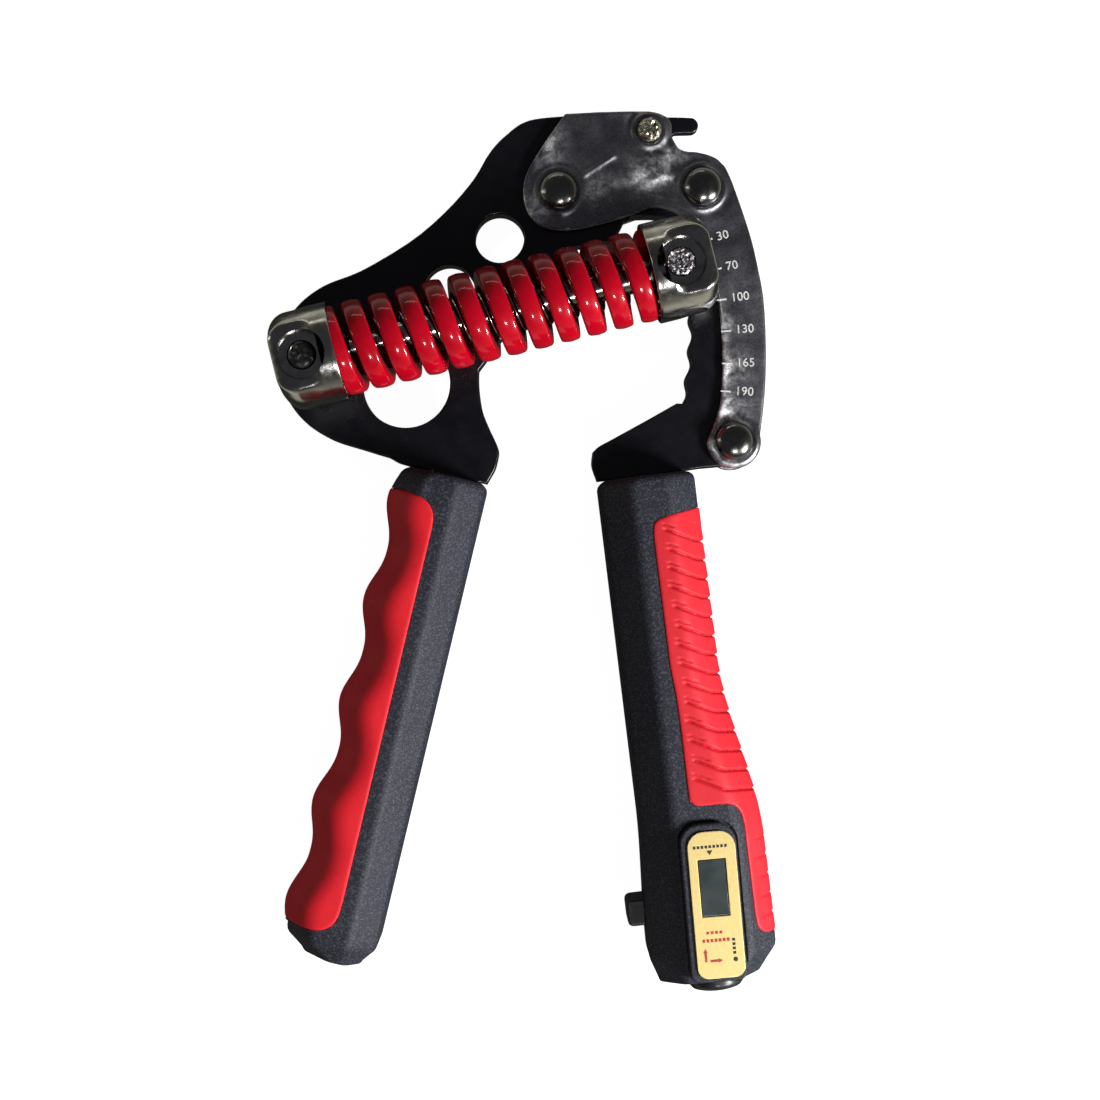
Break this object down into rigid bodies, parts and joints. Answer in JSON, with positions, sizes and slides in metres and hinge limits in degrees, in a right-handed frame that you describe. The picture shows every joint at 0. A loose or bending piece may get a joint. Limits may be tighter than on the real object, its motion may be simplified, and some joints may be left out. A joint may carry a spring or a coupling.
{
  "type": "hand dynamometer",
  "caption": "Adjustable spring hand strengthener with a kilogram scale: two pivoting handles, a coil-spring strut in a notched rack, and a squeeze counter with display.",
  "frame": {"origin": "middle of the footprint, on the surface that the tool lies on", "axes": "+Y from the handles towards the pivot end, +X across the handles towards the counter handle, +Z out of the front face"},
  "size_m": [0.1114, 0.1962, 0.035],
  "materials": {
    "black_painted_steel": "glossy black lacquer",
    "dark_nickel_plate": "dark nickel, thumbed and creased",
    "dark_nickel_rivet": "polished dark nickel",
    "zinc_plate": "yellowish zinc",
    "chrome_plate": "bright chrome",
    "red_spring_lacquer": "glossy red lacquer",
    "charcoal_plastic": "fine spark-eroded grain",
    "red_soft_pad": "soft-touch red",
    "black_plastic": "smooth black",
    "gold_label": "brushed gold",
    "lcd_glass": "dark display glass",
    "circuit_board": "solder mask",
    "battery_steel": "stainless"
  },
  "bodies": {
    "frame_side": {"right_arm": "black_painted_steel", "front_bracket": "dark_nickel_plate", "back_bracket": "dark_nickel_plate", "pivot_rivet": "dark_nickel_rivet", "upper_rivet": "dark_nickel_rivet", "lower_rivet": "dark_nickel_rivet", "lever_screw": "zinc_plate", "lever_nut": "zinc_plate", "lever_spacer_front": "zinc_plate", "lever_spacer_back": "zinc_plate", "right_handle_front": "charcoal_plastic", "right_handle_back": "charcoal_plastic", "right_grip_pad": "red_soft_pad", "right_handle_screw_1": "zinc_plate", "right_handle_screw_2": "zinc_plate", "counter_bezel": "black_plastic", "counter_faceplate": "gold_label", "lcd_window": "lcd_glass", "lcd_module": "black_plastic", "counter_board": "circuit_board", "button_cell_1": "battery_steel", "button_cell_2": "battery_steel", "count_switch": "black_plastic", "reset_switch": "black_plastic", "plunger_spring": "chrome_plate", "reset_spring": "chrome_plate"},
    "moving_side": {"left_arm": "black_painted_steel", "pivot_bush": "zinc_plate", "left_handle_front": "charcoal_plastic", "left_handle_back": "charcoal_plastic", "left_grip_pad": "red_soft_pad", "left_handle_screw_1": "zinc_plate", "left_handle_screw_2": "zinc_plate", "left_cap_pin": "zinc_plate"},
    "strut": {"left_spring_cap": "chrome_plate", "guide_rod": "chrome_plate", "rod_buffer": "black_plastic", "main_spring": "red_spring_lacquer", "inner_spring": "chrome_plate"},
    "strut_end": {"right_spring_cap": "chrome_plate", "right_cap_pin": "zinc_plate", "guide_tube": "chrome_plate"},
    "lever": {"stop_lever": "black_painted_steel"},
    "plunger": {"count_plunger": "black_plastic"},
    "reset": {"reset_button": "black_plastic"}
  },
  "joints": [
    {"name": "squeeze", "type": "hinge", "parent": "frame_side", "child": "moving_side", "pos_m": [0.00772, 0.08016, 0.0095], "axis": [0, 0, 1], "range_deg": [0, 18.5], "stiffness_Nm_per_rad": 60, "springref_deg": -8.59},
    {"name": "strut_swing", "type": "hinge", "parent": "moving_side", "child": "strut", "pos_m": [-0.04758, 0.04146, 0.0095], "axis": [0, 0, 1], "range_deg": [-4.2, 0.1]},
    {"name": "spring_compress", "type": "slide", "parent": "strut", "child": "strut_end", "axis": [0.9711, 0.2385, 0], "range_m": [-0.0087, 0.0001], "deforming": ["main_spring", "inner_spring"]},
    {"name": "stop_lever", "type": "hinge", "parent": "frame_side", "child": "lever", "pos_m": [0.02802, 0.09376, 0.0095], "axis": [0, 0, 1], "range_deg": [0, 80]},
    {"name": "count_plunger", "type": "slide", "parent": "frame_side", "child": "plunger", "axis": [0.9925, 0.1219, 0], "range_m": [0, 0.0035], "stiffness_N_per_m": 300, "springref_m": -0.001, "deforming": ["plunger_spring"]},
    {"name": "reset_button", "type": "slide", "parent": "frame_side", "child": "reset", "axis": [-0.1219, 0.9925, 0], "range_m": [0, 0.0015], "stiffness_N_per_m": 500, "springref_m": -0.001, "deforming": ["reset_spring"]}
  ],
  "couplings": [
    {"joint": "strut_swing", "follows": "squeeze", "ratio": -0.21999},
    {"joint": "spring_compress", "follows": "squeeze", "m_per_rad": -0.026707}
  ]
}
